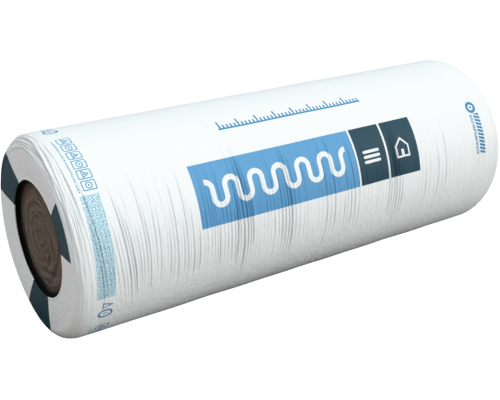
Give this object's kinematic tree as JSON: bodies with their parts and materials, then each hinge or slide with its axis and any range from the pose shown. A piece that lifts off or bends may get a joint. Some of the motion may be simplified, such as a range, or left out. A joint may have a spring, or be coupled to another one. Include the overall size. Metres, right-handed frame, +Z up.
{
  "type": "insulation roll",
  "caption": "Blanket of mineral wool wound into a roll that lies on its side, shrunk in a printed plastic film with a round opening in each end.",
  "frame": {"origin": "on the floor, below the middle of the roll", "axes": "+X along the roll's axis, +Z up"},
  "size_m": [1.2, 0.4474, 0.4474],
  "materials": {
    "wool": "matte brown glass wool",
    "film": "white shrunk polyethylene film with blue and dark print"
  },
  "bodies": {
    "root": {"wool_roll": "wool", "film_wrap": "film"}
  },
  "joints": []
}
